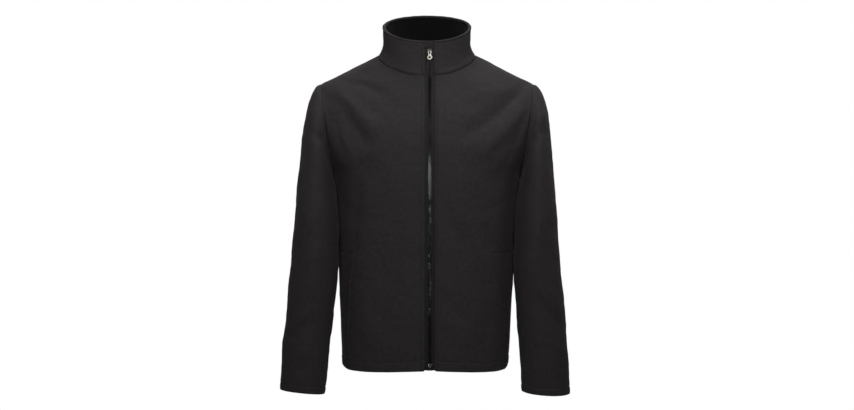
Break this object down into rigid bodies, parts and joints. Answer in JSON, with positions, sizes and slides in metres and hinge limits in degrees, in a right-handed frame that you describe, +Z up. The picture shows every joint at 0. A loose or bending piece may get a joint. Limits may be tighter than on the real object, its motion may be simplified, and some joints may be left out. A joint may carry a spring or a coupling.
{
  "type": "softshell jacket",
  "caption": "Zip-front softshell jacket with a stand collar, set-in sleeves and slanted side pockets, in its worn, hollow shape.",
  "frame": {"origin": "on the centre plane at the height of the shoulder's neck point, where the wearer's neck and shoulders carry the jacket", "axes": "+Z up, the front faces -Y, +X towards the wearer's left"},
  "size_m": [0.6592, 0.2759, 0.8748],
  "materials": {
    "softshell": "matte woven polyester face",
    "fleece": "brushed inner face",
    "zip_tape": "matte woven tape",
    "zip_teeth": "moulded acetal",
    "enamel": "black enamel on a zinc casting",
    "nickel": "nickel plated zinc casting"
  },
  "bodies": {
    "garment": {"back_panel": "softshell", "front_left": "softshell", "front_right": "softshell", "side_piece_left": "softshell", "side_piece_right": "softshell", "sleeve_left": "softshell", "sleeve_right": "softshell", "collar": "softshell", "collar_lining": "fleece", "zip_garage": "softshell", "zip_tape_left": "zip_tape", "zip_tape_right": "zip_tape", "zip_chain": "zip_teeth", "zip_box": "zip_teeth", "zip_slider": "enamel"},
    "puller": {"zip_puller": "nickel"}
  },
  "joints": [
    {"name": "puller_swing", "type": "hinge", "parent": "garment", "child": "puller", "pos_m": [0.0062, -0.07972, 0.00859], "axis": [-1, 0, 0], "range_deg": [0, 150]}
  ]
}
